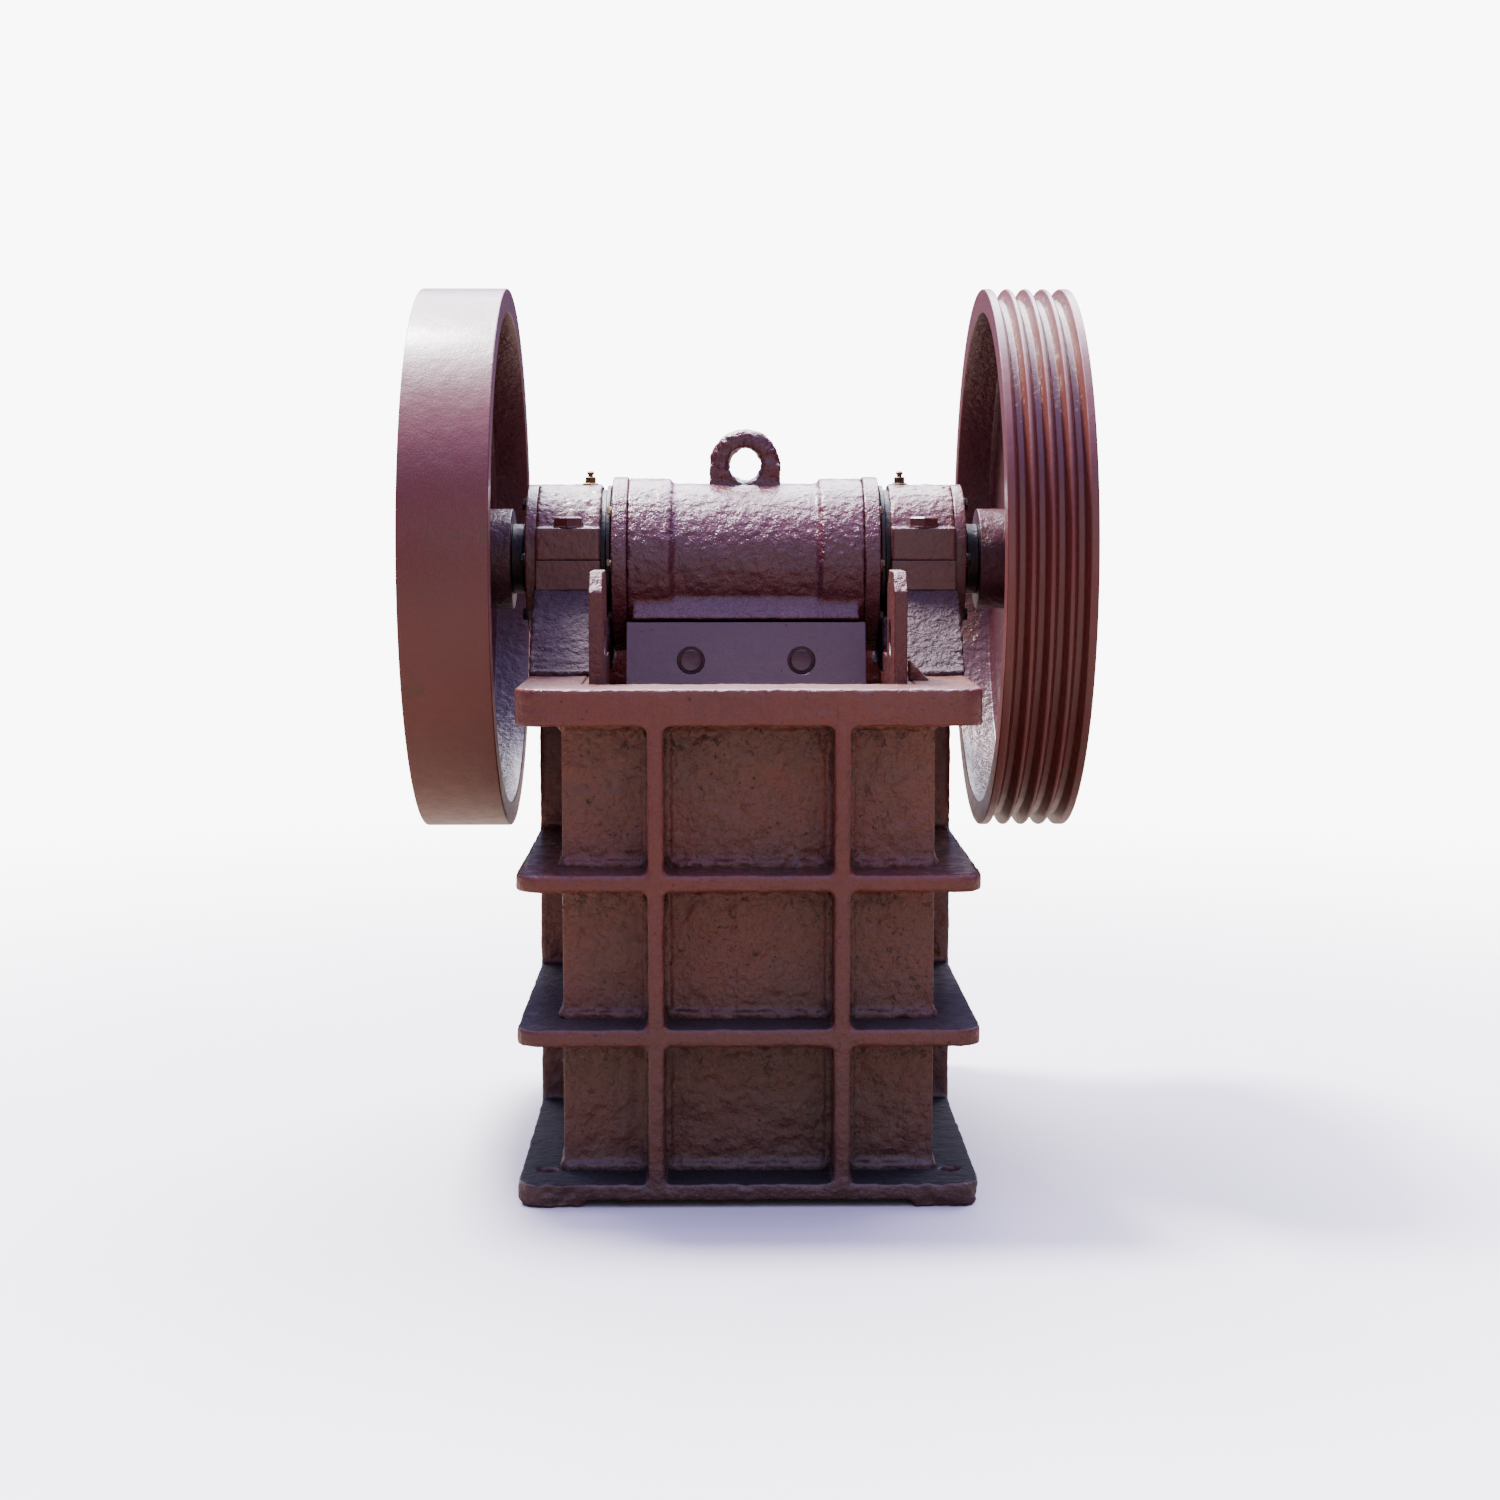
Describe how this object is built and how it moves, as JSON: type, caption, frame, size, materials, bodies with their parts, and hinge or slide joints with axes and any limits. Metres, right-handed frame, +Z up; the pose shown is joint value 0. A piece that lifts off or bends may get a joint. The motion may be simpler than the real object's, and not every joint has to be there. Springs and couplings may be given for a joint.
{
  "type": "jaw crusher",
  "caption": "Single-toggle jaw crusher with ribbed cast frame, eccentric swing jaw, flywheel and grooved belt pulley.",
  "frame": {"origin": "centre of the foundation bolt pattern, on the floor under the feet", "axes": "+Z up, -Z into the foundation, +Y to the rear, the feed side faces -Y, +X towards the belt pulley"},
  "size_m": [0.744, 0.83, 0.938],
  "materials": {
    "cast_frame": "oxide-red gloss enamel over rough casting",
    "cast_jaw": "maroon gloss enamel over pitted casting",
    "machined_enamel": "satin enamel over machined faces",
    "wheel_enamel": "satin enamel over turned faces",
    "greased_steel": "black grease over turned steel",
    "bare_steel": "dull oiled steel",
    "wear_steel": "rough cast manganese steel"
  },
  "bodies": {
    "frame": {"front_wall": "cast_frame", "rear_wall": "cast_frame", "side_wall_left": "cast_frame", "side_wall_right": "cast_frame", "side_ribs_left": "cast_frame", "side_ribs_right": "cast_frame", "front_ribs": "cast_frame", "rear_ribs": "cast_frame", "base_flange": "cast_frame", "lower_shelf": "cast_frame", "upper_shelf": "cast_frame", "top_flange": "cast_frame", "bearing_pedestal_left": "cast_frame", "bearing_pedestal_right": "cast_frame", "bearing_seat_left": "machined_enamel", "bearing_seat_right": "machined_enamel", "bearing_cap_left": "machined_enamel", "bearing_cap_right": "machined_enamel", "bearing_cover_left": "machined_enamel", "bearing_cover_right": "machined_enamel", "cheek_plate_left": "cast_frame", "cheek_plate_right": "cast_frame", "fixed_jaw_plate": "wear_steel", "adjusting_block": "cast_frame", "toggle_plate": "wear_steel", "tension_rod": "bare_steel", "tension_spring": "bare_steel", "spring_washers": "bare_steel"},
    "rotor": {"eccentric_shaft": "greased_steel", "flywheel": "wheel_enamel", "belt_pulley": "wheel_enamel", "shaft_sleeve_left": "greased_steel", "shaft_sleeve_right": "greased_steel"},
    "swing_jaw": {"swing_jaw": "cast_jaw", "jaw_cover_left": "cast_jaw", "jaw_cover_right": "cast_jaw", "lifting_eye": "cast_jaw", "moving_jaw_plate": "wear_steel", "jaw_clamp": "machined_enamel", "jaw_toggle_seat": "cast_jaw", "jaw_rod_lug": "cast_jaw"}
  },
  "joints": [
    {"name": "rotor_spin", "type": "hinge", "parent": "frame", "child": "rotor", "pos_m": [0, 0.042, 0.639], "axis": [1, 0, 0], "continuous": true},
    {"name": "jaw_swing", "type": "hinge", "parent": "rotor", "child": "swing_jaw", "pos_m": [0, 0.042, 0.633], "axis": [1, 0, 0], "continuous": true}
  ],
  "couplings": [
    {"joint": "jaw_swing", "follows": "rotor_spin", "ratio": -1}
  ]
}
